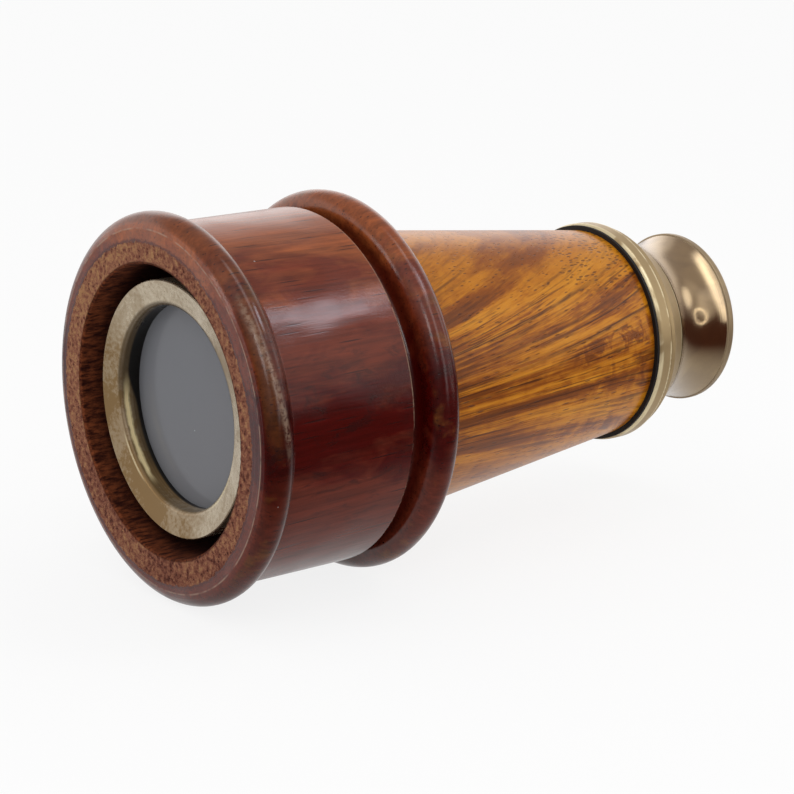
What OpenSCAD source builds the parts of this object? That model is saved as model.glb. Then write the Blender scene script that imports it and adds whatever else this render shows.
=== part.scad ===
// Pocket spyglass with a turned hood, a tapered wooden barrel and two brass draws.
// Millimetres. +X runs along the optical axis from the hood to the eyecup and +Z is up.
// The origin is at the bottom centre of the closed instrument, lying on its hood beads.
// Inside the modules a distance along the axis is counted from the hood's flat face.

/* [Hood] */
// Length of the hood, from its flat face to its rear face
hood_len = 38.9; // [38:0.1:46]
// Thickness of the wood between the mouth and the straight body
hood_wall = 6.1; // [5.4:0.1:6.6]
// Height of both beads above the straight body
bead_height = 2.3; // [1.8:0.1:2.6]
// Radius of the front bead's round
front_bead_r = 3.05; // [3:0.05:3.6]
// Distance of the front bead's crest behind the flat face
front_bead_at = 3; // [2.6:0.1:3]
// Radius of the hollow between the front bead and the straight body
front_fillet_r = 0.6; // [0.3:0.1:1]
// Radius of the rear bead's round
rear_bead_r = 2.9; // [2.4:0.1:3.1]
// Width of the groove in front of the rear bead
groove_w = 2.95; // [2.2:0.05:4]
// Depth of that groove below the straight body
groove_depth = 3.3; // [2.4:0.1:3.6]
// Radius of the hollow between the groove and the rear bead
groove_fillet_r = 1.6; // [0.8:0.1:1.8]
// Round on the sharp rear edge of the straight body
body_edge_r = 0.4; // [0.2:0.05:0.8]
// Width of the gap between the mouth and the bezel
mouth_gap = 2.9; // [2.4:0.1:3.6]
// Round on the mouth's edge
mouth_edge_r = 0.4; // [0.2:0.1:0.8]
// Depth of the mouth, from the flat face to the step that stops the barrel's tenon
mouth_depth = 18; // [16:0.1:19.5]

/* [Barrel] */
// Length of the tapered stretch behind the hood
barrel_len = 54.8; // [53:0.1:70]
// Height of the shoulder between the tenon and the tapered stretch
barrel_shoulder = 2.2; // [1.8:0.05:3.6]
// Wall of the tenon round the cell's spigot
tenon_wall = 3.35; // [2.6:0.05:3.8]
// Wall of the barrel round the liner at its rear end
barrel_rear_wall = 2.25; // [1.8:0.05:2.8]
// Outer diameter of the brass tube that lines the barrel
liner_d = 34; // [33.8:0.1:34.6]
// Wall of that tube
liner_wall = 0.8; // [0.6:0.05:1]

/* [Objective] */
// Wall of the cell round the glass
cell_front_wall = 2.95; // [2.4:0.05:3.4]
// Height of the shoulder that stops the cell against the tenon
cell_shoulder = 1.7; // [1.2:0.05:2]
// Length of the spigot that holds the cell in the tenon
spigot_len = 9; // [7:0.1:10.5]
// Width of the seat behind the glass
glass_seat = 1.2; // [0.8:0.05:1.8]
// Depth of the bezel's front edge behind the flat face
bezel_recess = 2.7; // [2:0.1:4]
// Length of the bezel's outer wall
bezel_len = 3.4; // [3:0.1:3.8]
// Width of the bezel's lip in front of the glass
bezel_lip = 1.4; // [1:0.05:1.8]
// Depth of the bezel's dished face
bezel_dish_depth = 0.8; // [0.4:0.05:1]
// Bevel on the bezel's outer edge
bezel_edge = 0.15; // [0.1:0.05:0.4]
// Radius of the round between the dish and the bore
bezel_round_r = 0.8; // [0.5:0.05:1]
// Diameter of the objective glass
objective_d = 37.4; // [37:0.1:38.4]
// Edge thickness of the objective glass
objective_edge = 1.8; // [1.4:0.1:2.6]
// Depth of the glass's edge behind the bezel's front edge
glass_depth = 4.8; // [4.4:0.1:5.4]
// Radius of the objective's front surface
objective_front_radius = 300; // [200:10:600]
// Radius of the objective's rear surface
objective_rear_radius = 72; // [60:1:120]

/* [Ferrule and gasket] */
// Height of the ferrule's band above the end of the barrel
ferrule_proud = 1.15; // [0.9:0.05:1.6]
// Length of that band
ferrule_len = 2.9; // [2.4:0.1:4.5]
// Round on the band's front edge
ferrule_front_round = 0.8; // [0.4:0.1:1]
// Round on the band's rear edge
ferrule_rear_round = 0.3; // [0.2:0.05:0.6]
// Length of the sleeve that guides the first draw
ferrule_sleeve_len = 10; // [8:0.5:14]
// Height of the black gasket above the end of the barrel
gasket_proud = 0.85; // [0.4:0.05:0.9]
// Thickness of the black gasket
gasket_thick = 0.5; // [0.4:0.1:1]

/* [First draw] */
// Radial room between the liner and the first draw tube
first_sleeve_room = 1.6; // [1.4:0.05:1.9]
// Wall of the first draw tube
first_tube_wall = 0.7; // [0.5:0.05:0.8]
// Step down from the ferrule's band to the front of the tapered collar
collar_step = 0.75; // [0:0.05:1.2]
// Length of the collar's straight stretch in front of its taper
collar_land = 0.8; // [0.4:0.1:2]
// Wall of the collar at its rear end, round the second draw tube
collar_rear_wall = 4.2; // [3.6:0.1:4.8]
// Length of the tapered collar
collar_len = 6.1; // [5:0.1:8]
// Round on the collar's edges
collar_round = 0.4; // [0.2:0.05:0.6]
// Depth of the seat in the collar for the first draw tube
collar_seat_len = 1.2; // [0.8:0.1:2.4]
// Length of the sleeve that guides the second draw, in front of the collar
collar_sleeve_len = 6.4; // [5:0.2:9]
// Distance from the barrel's glass cell to the closed first draw
first_draw_rest_gap = 4; // [2:0.1:8]

/* [Second draw] */
// Radial room between the first draw tube and the second
second_sleeve_room = 1.5; // [1.35:0.05:1.8]
// Wall of the second draw tube
second_tube_wall = 0.7; // [0.5:0.05:0.8]
// Distance that the second tube's front end stays behind the first's
second_draw_rest_step = 2; // [1:0.1:6]
// Length of the stop ring at the front of each draw
stop_ring_len = 4; // [3:0.1:6]

/* [Eyecup] */
// Step down from the rear of the collar to the front of the eyecup
eyecup_step = 0.5; // [0:0.05:0.8]
// Wall of the eyecup at its waist, round the second draw tube
eyecup_waist_wall = 2.25; // [2:0.05:3]
// Distance of the waist from the eyecup's front
eyecup_waist_at = 6.55; // [5.5:0.05:7.5]
// Length of the eyecup
eyecup_len = 13.8; // [13.3:0.1:15]
// Height of the eyecup's rim above its waist
eyecup_rim_height = 1.3; // [1.2:0.05:1.8]
// Length of the rim's band
eyecup_rim_len = 1.7; // [1.5:0.05:2]
// Round on the rim's rear edge
eyecup_rim_r = 0.9; // [0.7:0.05:1]
// Round on the rim's front edge, which stands above the flare
eyecup_rim_edge_r = 0.2; // [0.15:0.05:0.3]
// Depth of the socket that takes the second draw tube
eyecup_socket_len = 4.6; // [3.5:0.1:5.2]
// Diameter of the eye hole
eye_hole_d = 10; // [8:0.1:12]
// Depth of the hollow that the eye comes up to
eyecup_dish_depth = 5.6; // [4.5:0.1:6]
// Width of the rim round that hollow
eyecup_rim_width = 2.3; // [2:0.05:3]
// Width of the hollow's slanting wall
eyecup_dish_slant = 3.3; // [2:0.1:4]

/* [Eyepiece and erector] */
// Wall of the eyepiece and erector cells
cell_wall = 0.9; // [0.7:0.05:1.1]
// Length of the eyepiece cell
eyepiece_len = 12; // [11.5:0.1:16]
// Length of the erector cell
erector_len = 28; // [24:0.5:36]
// Distance of the erector cell from the second tube's front end
erector_setback = 2; // [1:0.1:6]
// Width of the lip that each lens of the eyepiece and erector rests on
lens_lip = 0.9; // [0.6:0.05:1.2]
// Length of that lip along the axis
lens_lip_len = 0.8; // [0.6:0.1:1.2]
// Edge thickness of those lenses
small_lens_edge = 1.2; // [0.9:0.1:1.8]
// Radius of the curved side of those lenses
small_lens_radius = 26; // [22:0.5:40]
// Length of the threaded rings that hold those lenses
small_ring_len = 2; // [1.5:0.1:2.6]
// Hole in the erector's stop
erector_hole_d = 7; // [5:0.1:9]
// Thickness of the erector's stop
erector_stop_thick = 1; // [0.6:0.1:2]

/* [Felts and fits] */
// Thickness of the felt linings
felt_thick = 0.8; // [0.6:0.05:0.9]
// Metal left at each end of a felt lining
felt_end_wall = 1.6; // [1:0.1:2]
// Radial clearance between pieces that are screwed or glued together
seat_gap = 0.05; // [0.02:0.01:0.08]
// Radial clearance between a draw tube and the felt that grips it
felt_gap = 0.05; // [0.03:0.01:0.08]
// Radial clearance between a draw tube and the metal round it
slide_gap = 0.1; // [0.08:0.01:0.15]
// Gap left between the closed draws and the collars they meet
closed_gap = 0.3; // [0.2:0.05:0.5]

/* [Hidden] */
$fn = 120;

// Finishes
dark_wood = [0.24, 0.07, 0.04];
honey_wood = [0.62, 0.38, 0.14];
worn_brass = [0.66, 0.60, 0.44];
dull_brass = [0.60, 0.56, 0.47];
black_fibre = [0.03, 0.03, 0.03];
grey_felt = [0.13, 0.12, 0.12];
clear_glass = [0.45, 0.46, 0.48, 0.5];

// Circles as wide as a lens surface need short chords
lens_fn = 1800;

// How far a cut runs past the face that it opens
past = 1;

// Stations along the axis
tenon_front = mouth_depth;
barrel_end = hood_len + barrel_len;
cell_front = bezel_recess + bezel_len;
spigot_end = tenon_front + spigot_len;
glass_at = bezel_recess + glass_depth;
glass_rear = glass_at + objective_edge;
gasket_end = barrel_end + gasket_thick;
ferrule_end = gasket_end + ferrule_len;
ferrule_sleeve_front = barrel_end - ferrule_sleeve_len;
collar_front = ferrule_end + closed_gap;
collar_end = collar_front + collar_len;
first_tube_front = spigot_end + first_draw_rest_gap;
first_tube_end = collar_front + collar_seat_len;
collar_sleeve_front = collar_front - collar_sleeve_len;
eyecup_front = collar_end + closed_gap;
eyecup_end = eyecup_front + eyecup_len;
second_tube_front = first_tube_front + second_draw_rest_step;
second_tube_end = eyecup_front + eyecup_socket_len;
eyepiece_front = second_tube_end - eyepiece_len;
erector_front = second_tube_front + erector_setback;
erector_end = erector_front + erector_len;

// Radii that neighbours share
objective_r = objective_d / 2;
cell_r = objective_r + seat_gap + cell_front_wall;
spigot_r = cell_r - cell_shoulder;
glass_seat_r = objective_r - glass_seat;
tenon_r = spigot_r + seat_gap + tenon_wall;
mouth_r = cell_r + mouth_gap;
hood_body_r = mouth_r + hood_wall;
hood_bead_crest_r = hood_body_r + bead_height;
liner_r = liner_d / 2;
liner_bore_r = liner_r - liner_wall;
barrel_bore_r = liner_r + seat_gap;
barrel_rear_r = barrel_bore_r + barrel_rear_wall;
ferrule_r = barrel_rear_r + ferrule_proud;
first_tube_r = liner_bore_r - first_sleeve_room;
first_tube_bore_r = first_tube_r - first_tube_wall;
second_tube_r = first_tube_bore_r - second_sleeve_room;
second_tube_bore_r = second_tube_r - second_tube_wall;
collar_bore_r = second_tube_r + slide_gap;
collar_rear_r = collar_bore_r + collar_rear_wall;
eyecup_socket_r = second_tube_r + seat_gap;
eyecup_waist_r = eyecup_socket_r + eyecup_waist_wall;
inner_cell_r = second_tube_bore_r - seat_gap;
inner_cell_bore_r = inner_cell_r - cell_wall;
small_lens_r = inner_cell_bore_r - seat_gap;
small_lens_clear_r = small_lens_r - lens_lip;

// Height of a lens surface of radius big at a distance r from the axis
function sag(big, r) = big - sqrt(big * big - r * r);

// Stations of the small lenses; each curved side faces the middle of its cell
erector_front_lens_at = erector_front + small_ring_len;
erector_rear_lens_at = erector_end - small_ring_len;
field_lens_at = eyepiece_front + small_ring_len;
eye_lens_at = second_tube_end - lens_lip_len;
small_lens_bulge = sag(small_lens_radius, small_lens_r) - sag(small_lens_radius, small_lens_clear_r);

overall_len = eyecup_end;
axis_height = hood_bead_crest_r;

// Turns a half profile about the optical axis: x is the radius, y the distance from the face
module turned() {
  translate([-overall_len / 2, 0, axis_height])
    rotate([0, 90, 0])
      rotate_extrude()
        children();
}

// Half profile of a plain band between two radii and two stations
module band(r_in, r_out, from, to) {
  translate([r_in, from]) square([r_out - r_in, to - from]);
}

// The same with its outer edges rounded
module rounded_band(r_in, r_out, from, to, front_round, rear_round) {
  difference() {
    band(r_in, r_out, from, to);
    band(r_out - front_round, r_out + past, from - past, from + front_round);
    band(r_out - rear_round, r_out + past, to - rear_round, to + past);
  }
  intersection() {
    translate([r_out - front_round, from + front_round]) circle(front_round);
    band(r_out - front_round, r_out, from, from + front_round);
  }
  intersection() {
    translate([r_out - rear_round, to - rear_round]) circle(rear_round);
    band(r_out - rear_round, r_out, to - rear_round, to);
  }
}

// Half profile of a lens: flat towards the front or the rear, and curved on its other side
module plano_lens(flat_at, curved_rear) {
  side = curved_rear ? 1 : -1;
  depth = small_lens_edge + sag(small_lens_radius, small_lens_r);
  intersection() {
    band(0, small_lens_r, min(flat_at, flat_at + side * depth), max(flat_at, flat_at + side * depth));
    translate([0, flat_at + side * (depth - small_lens_radius)]) circle(small_lens_radius, $fn = lens_fn);
  }
}

// Dark turned hood: a straight body between two beads, with a groove before the rear one
module hood() {
  front_bead_centre_r = hood_bead_crest_r - front_bead_r;
  // The bead starts from a fine edge on the flat face
  face_edge_r = front_bead_centre_r + sqrt(front_bead_r * front_bead_r - front_bead_at * front_bead_at);
  // The front hollow touches both the bead and the straight body
  fillet_drop = hood_body_r + front_fillet_r - front_bead_centre_r;
  fillet_reach = front_bead_r + front_fillet_r;
  front_fillet_at = front_bead_at + sqrt(fillet_reach * fillet_reach - fillet_drop * fillet_drop);
  rear_bead_centre_r = hood_bead_crest_r - rear_bead_r;
  rear_bead_front = hood_len - 2 * rear_bead_r;
  body_end = rear_bead_front - groove_w;
  groove_r = hood_body_r - groove_depth;
  socket_r = tenon_r + seat_gap;
  color(dark_wood) turned() difference() {
    union() {
      rounded_band(socket_r, hood_body_r, front_bead_at, body_end, body_edge_r, body_edge_r);
      band(socket_r, face_edge_r, 0, front_bead_at);
      intersection() {
        translate([front_bead_centre_r, front_bead_at]) circle(front_bead_r);
        band(socket_r, hood_bead_crest_r, 0, front_fillet_at);
      }
      difference() {
        polygon([[front_bead_centre_r, front_bead_at], [hood_body_r + front_fillet_r, front_fillet_at],
                 [front_bead_centre_r, front_fillet_at]]);
        translate([hood_body_r + front_fillet_r, front_fillet_at]) circle(front_fillet_r);
      }
      band(socket_r, groove_r, body_end, rear_bead_front);
      difference() {
        band(groove_r, groove_r + groove_fillet_r, rear_bead_front - groove_fillet_r, rear_bead_front);
        translate([groove_r + groove_fillet_r, rear_bead_front - groove_fillet_r]) circle(groove_fillet_r);
      }
      band(socket_r, rear_bead_centre_r, rear_bead_front, hood_len);
      translate([rear_bead_centre_r, hood_len - rear_bead_r]) circle(rear_bead_r);
    }
    band(0, mouth_r, -past, mouth_depth);
    difference() {
      band(mouth_r, mouth_r + mouth_edge_r, -past, mouth_edge_r);
      translate([mouth_r + mouth_edge_r, mouth_edge_r]) circle(mouth_edge_r);
    }
  }
}

// Tapered wooden barrel with a tenon that is glued into the hood
module barrel() {
  color(honey_wood) turned() difference() {
    union() {
      band(barrel_bore_r, tenon_r, tenon_front, hood_len);
      polygon([[barrel_bore_r, hood_len], [tenon_r + barrel_shoulder, hood_len],
               [barrel_rear_r, barrel_end], [barrel_bore_r, barrel_end]]);
    }
    band(0, spigot_r + seat_gap, tenon_front - past, spigot_end);
  }
}

// Thin brass tube that lines the barrel behind the objective cell
module barrel_liner() {
  color(worn_brass) turned() band(liner_bore_r, liner_r, spigot_end, barrel_end);
}

// Cell that holds the objective against a rear seat, with a spigot in the barrel's tenon
module objective_cell() {
  rear_bulge = sag(objective_rear_radius, objective_r) - sag(objective_rear_radius, glass_seat_r);
  color(dull_brass) turned() difference() {
    union() {
      band(glass_seat_r, cell_r, cell_front, tenon_front);
      band(glass_seat_r, spigot_r, tenon_front, spigot_end);
    }
    band(0, objective_r + seat_gap, cell_front - past, glass_rear + rear_bulge);
  }
}

// Objective glass, nearly flat in front and more curved behind
module objective_lens() {
  front_apex = glass_at - sag(objective_front_radius, objective_r);
  rear_apex = glass_rear + sag(objective_rear_radius, objective_r);
  color(clear_glass) turned() intersection() {
    band(0, objective_r, front_apex, rear_apex);
    translate([0, front_apex + objective_front_radius]) circle(objective_front_radius, $fn = lens_fn);
    translate([0, rear_apex - objective_rear_radius]) circle(objective_rear_radius, $fn = lens_fn);
  }
}

// Bezel in front of the objective: a dished face, a rounded bore, and a skirt that holds the glass
module objective_bezel() {
  bore_r = objective_r - bezel_lip;
  dish_at = bezel_recess + bezel_dish_depth;
  front_bulge = sag(objective_front_radius, objective_r) - sag(objective_front_radius, bore_r);
  skirt_end = glass_at - front_bulge - seat_gap;
  color(worn_brass) turned() {
    polygon([[bore_r + bezel_round_r, dish_at], [cell_r - bezel_edge, bezel_recess],
             [cell_r, bezel_recess + bezel_edge], [cell_r, cell_front], [bore_r + bezel_round_r, cell_front]]);
    band(bore_r, bore_r + bezel_round_r, dish_at + bezel_round_r, cell_front);
    intersection() {
      translate([bore_r + bezel_round_r, dish_at + bezel_round_r]) circle(bezel_round_r);
      band(bore_r, bore_r + bezel_round_r, dish_at, dish_at + bezel_round_r);
    }
    band(bore_r, objective_r, cell_front, skirt_end);
  }
}

// Black fibre washer between the barrel's end grain and the ferrule
module ferrule_gasket() {
  color(black_fibre) turned() band(liner_bore_r, barrel_rear_r + gasket_proud, barrel_end, gasket_end);
}

// Sleeve wall with a pocket for its felt lining
module felt_sleeve(tube_r, wall_r, from, to) {
  difference() {
    band(tube_r + slide_gap, wall_r, from, to);
    band(tube_r, felt_back_r(tube_r), from + felt_end_wall, to - felt_end_wall);
  }
}

// Radius at which the felt meets the bottom of its pocket
function felt_back_r(tube_r) = tube_r + felt_gap + felt_thick;

// Half profile of a felt lining in such a pocket
module felt_ring(tube_r, from, to) {
  band(tube_r + felt_gap, felt_back_r(tube_r) - felt_gap / 2,
       from + felt_end_wall + felt_gap, to - felt_end_wall - felt_gap);
}

// Brass ferrule: a band outside and a felted sleeve inside the liner
module barrel_ferrule() {
  color(worn_brass) turned() {
    felt_sleeve(first_tube_r, liner_bore_r - seat_gap, ferrule_sleeve_front, gasket_end);
    rounded_band(first_tube_r + slide_gap, ferrule_r, gasket_end, ferrule_end,
                 ferrule_front_round, ferrule_rear_round);
  }
}

// Felt that grips the first draw
module barrel_felt() {
  color(grey_felt) turned() felt_ring(first_tube_r, ferrule_sleeve_front, gasket_end);
}

// First draw tube
module first_draw_tube() {
  color(worn_brass) turned() band(first_tube_bore_r, first_tube_r, first_tube_front, first_tube_end);
}

// Ring that stops the first draw from leaving the barrel
module first_draw_stop_ring() {
  color(dull_brass) turned()
    band(first_tube_r + seat_gap, liner_bore_r - slide_gap, first_tube_front, first_tube_front + stop_ring_len);
}

// Tapered collar at the rear of the first draw, with a felted sleeve for the second
module first_draw_collar() {
  front_r = ferrule_r - collar_step;
  color(worn_brass) turned() {
    felt_sleeve(second_tube_r, first_tube_bore_r - seat_gap, collar_sleeve_front, first_tube_end);
    difference() {
      polygon([[collar_bore_r, collar_front], [front_r - collar_round, collar_front],
               [front_r, collar_front + collar_round],
               [front_r, collar_front + collar_round + collar_land],
               [collar_rear_r, collar_end - collar_round], [collar_rear_r - collar_round, collar_end],
               [collar_bore_r, collar_end]]);
      band(0, first_tube_r + seat_gap, collar_front - past, first_tube_end);
    }
  }
}

// Felt that grips the second draw
module first_draw_felt() {
  color(grey_felt) turned() felt_ring(second_tube_r, collar_sleeve_front, first_tube_end);
}

// Second draw tube
module second_draw_tube() {
  color(worn_brass) turned() band(second_tube_bore_r, second_tube_r, second_tube_front, second_tube_end);
}

// Ring that stops the second draw from leaving the first
module second_draw_stop_ring() {
  color(dull_brass) turned()
    band(second_tube_r + seat_gap, first_tube_bore_r - slide_gap,
         second_tube_front, second_tube_front + stop_ring_len);
}

// Inner tube that carries the erector's two lenses, each against a lip
module erector_cell() {
  front_lip = erector_front_lens_at + small_lens_edge + small_lens_bulge;
  rear_lip = erector_rear_lens_at - small_lens_edge - small_lens_bulge;
  color(dull_brass) turned() {
    band(inner_cell_bore_r, inner_cell_r, erector_front, erector_end);
    band(small_lens_clear_r, inner_cell_bore_r, front_lip, front_lip + lens_lip_len);
    band(small_lens_clear_r, inner_cell_bore_r, rear_lip - lens_lip_len, rear_lip);
  }
}

// Front lens of the erector
module erector_front_lens() {
  color(clear_glass) turned() plano_lens(erector_front_lens_at, true);
}

// Threaded ring that holds the erector's front lens
module erector_front_ring() {
  color(dull_brass) turned()
    band(small_lens_clear_r, small_lens_r, erector_front, erector_front_lens_at);
}

// Blackened disc with the erector's aperture
module erector_stop() {
  middle = (erector_front + erector_end) / 2;
  color(black_fibre) turned()
    band(erector_hole_d / 2, small_lens_r, middle - erector_stop_thick / 2, middle + erector_stop_thick / 2);
}

// Rear lens of the erector
module erector_rear_lens() {
  color(clear_glass) turned() plano_lens(erector_rear_lens_at, false);
}

// Threaded ring that holds the erector's rear lens
module erector_rear_ring() {
  color(dull_brass) turned()
    band(small_lens_clear_r, small_lens_r, erector_rear_lens_at, erector_end);
}

// Cell in the rear of the second draw, with a lip behind the eye lens
module eyepiece_cell() {
  color(dull_brass) turned() {
    band(inner_cell_bore_r, inner_cell_r, eyepiece_front, second_tube_end);
    band(small_lens_clear_r, inner_cell_bore_r, eye_lens_at, second_tube_end);
  }
}

// Field lens, curved towards the eye
module field_lens() {
  color(clear_glass) turned() plano_lens(field_lens_at, true);
}

// Tube that keeps the eyepiece lenses apart
module lens_spacer() {
  front = field_lens_at + small_lens_edge + small_lens_bulge;
  rear = eye_lens_at - small_lens_edge - small_lens_bulge;
  color(dull_brass) turned() band(small_lens_clear_r, small_lens_r, front, rear);
}

// Eye lens, flat towards the eye
module eye_lens() {
  color(clear_glass) turned() plano_lens(eye_lens_at, false);
}

// Threaded ring that holds the eyepiece lenses
module eyepiece_ring() {
  color(dull_brass) turned()
    band(small_lens_clear_r, small_lens_r, eyepiece_front, field_lens_at);
}

// Waisted brass eyecup with a rounded rim and a hollow for the eye
module eyecup() {
  front_r = collar_rear_r - eyecup_step;
  rim_r = eyecup_waist_r + eyecup_rim_height;
  rim_front = eyecup_end - eyecup_rim_len;
  dish_mouth_r = rim_r - eyecup_rim_width;
  rise = front_r - eyecup_waist_r;
  // One arc runs through the front edge and touches the waist
  flare_r = (eyecup_waist_at * eyecup_waist_at + rise * rise) / (2 * rise);
  dish_floor = eyecup_end - eyecup_dish_depth;
  color(worn_brass) turned() difference() {
    union() {
      difference() {
        band(eye_hole_d / 2, front_r, eyecup_front, rim_front + eyecup_rim_edge_r);
        translate([eyecup_waist_r + flare_r, eyecup_front + eyecup_waist_at]) circle(flare_r);
      }
      rounded_band(eye_hole_d / 2, rim_r, rim_front, eyecup_end, eyecup_rim_edge_r, eyecup_rim_r);
    }
    band(0, eyecup_socket_r, eyecup_front - past, second_tube_end);
    polygon([[0, dish_floor], [dish_mouth_r - eyecup_dish_slant, dish_floor], [dish_mouth_r, eyecup_end],
             [dish_mouth_r, eyecup_end + past], [0, eyecup_end + past]]);
  }
}

hood();
barrel();
barrel_liner();
objective_cell();
objective_lens();
objective_bezel();
ferrule_gasket();
barrel_ferrule();
barrel_felt();
first_draw_tube();
first_draw_stop_ring();
first_draw_collar();
first_draw_felt();
second_draw_tube();
second_draw_stop_ring();
erector_cell();
erector_front_lens();
erector_front_ring();
erector_stop();
erector_rear_lens();
erector_rear_ring();
eyepiece_cell();
field_lens();
lens_spacer();
eye_lens();
eyepiece_ring();
eyecup();
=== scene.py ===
"""The looks of a pocket spyglass: turned dark hood, honey-coloured barrel, brass draws and eyecup.

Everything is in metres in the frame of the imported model: +X runs along the optical axis from the
objective to the eyecup, +Z is up, and the closed instrument lies on its two hood beads.
"""

from __future__ import annotations

import logging
import math
from dataclasses import dataclass, field
from enum import Enum
from functools import cached_property
from typing import Any, Mapping, NamedTuple, Sequence, Union

import bpy
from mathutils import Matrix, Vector

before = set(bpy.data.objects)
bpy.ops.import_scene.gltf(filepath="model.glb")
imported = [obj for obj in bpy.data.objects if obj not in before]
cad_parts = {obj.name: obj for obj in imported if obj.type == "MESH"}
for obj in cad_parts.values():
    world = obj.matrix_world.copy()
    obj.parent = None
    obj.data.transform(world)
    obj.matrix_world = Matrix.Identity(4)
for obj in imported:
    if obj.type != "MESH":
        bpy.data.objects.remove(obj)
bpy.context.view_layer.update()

LOG = logging.getLogger("spyglass")
MM = 0.001
PHOTO_PX = 794

Colour = tuple[float, float, float]
Direction = tuple[float, float, float]
Span = tuple[float, float]
Number = Union[float, "Plug"]

WHITE: Colour = (1.0, 1.0, 1.0)
# Rubbed brass, also the colour of painted highlights on edges and in the bezel's bore.
RUBBED_AND_HIGHLIGHT: Colour = (0.82, 0.71, 0.45)
# Blackened brass, also the colour of painted shade in the bezel's bore.
BLACKENED_AND_SHADE: Colour = (0.085, 0.055, 0.025)

# The Mix node's sockets: share, first value, second value and result.
COLOUR_MIX = (0, 6, 7, 2)
VECTOR_MIX = (0, 4, 5, 1)


class Plug:
    """An output inside a node tree, which can be used in arithmetic."""

    def __init__(self, sheet: "NodeSheet", socket: bpy.types.NodeSocket | None) -> None:
        """Wraps a socket.

        Args:
            sheet: The node tree that the socket belongs to.
            socket: The output socket, or nothing for a node that ends the tree.
        """
        self.sheet = sheet
        self.socket = socket

    def maths(self, operation: str, first: Number, second: Number) -> "Plug":
        """Adds one Math node.

        Args:
            operation: Name of the node's operation.
            first: First operand.
            second: Second operand.

        Returns:
            The node's result.
        """
        return self.sheet.add("ShaderNodeMath", {"operation": operation}, {0: first, 1: second})

    def __add__(self, other: Number) -> "Plug":
        """Sum with another value."""
        return self.maths("ADD", self, other)

    def __radd__(self, other: Number) -> "Plug":
        """Sum with a number on the left."""
        return self.maths("ADD", other, self)

    def __sub__(self, other: Number) -> "Plug":
        """Difference with another value."""
        return self.maths("SUBTRACT", self, other)

    def __rsub__(self, other: Number) -> "Plug":
        """Difference from a number on the left."""
        return self.maths("SUBTRACT", other, self)

    def __mul__(self, other: Number) -> "Plug":
        """Product with another value."""
        return self.maths("MULTIPLY", self, other)

    def __rmul__(self, other: Number) -> "Plug":
        """Product with a number on the left."""
        return self.maths("MULTIPLY", other, self)

    def __truediv__(self, other: Number) -> "Plug":
        """Quotient by another value."""
        return self.maths("DIVIDE", self, other)

    def __rtruediv__(self, other: Number) -> "Plug":
        """Quotient of a number on the left."""
        return self.maths("DIVIDE", other, self)

    def __pow__(self, other: Number) -> "Plug":
        """Power with another value as its exponent."""
        return self.maths("POWER", self, other)

    def __rpow__(self, other: Number) -> "Plug":
        """Power of a number on the left."""
        return self.maths("POWER", other, self)

    def most(self, other: Number) -> "Plug":
        """The larger of this and another value."""
        return self.maths("MAXIMUM", self, other)

    def least(self, other: Number) -> "Plug":
        """The smaller of this and another value."""
        return self.maths("MINIMUM", self, other)

    def size(self) -> "Plug":
        """The value without its sign."""
        return self.maths("ABSOLUTE", self, 0.0)

    def rise(self, low: float, high: float) -> "Plug":
        """Goes smoothly from 0 at low to 1 at high, or back where low is the larger.

        Args:
            low: Value at which the result is 0.
            high: Value at which the result is 1.

        Returns:
            The smooth step.
        """
        return self.sheet.add(
            "ShaderNodeMapRange",
            {"interpolation_type": "SMOOTHSTEP"},
            {"Value": self, "From Min": low, "From Max": high},
        )

    def near(self, at: float, reach: float, core: float) -> "Plug":
        """Marks the values round a value.

        Args:
            at: The value in the middle.
            reach: Distance from it at which the result is 0.
            core: Distance from it up to which the result is 1.

        Returns:
            A soft band.
        """
        return (self - at).size().rise(reach, core)


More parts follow.
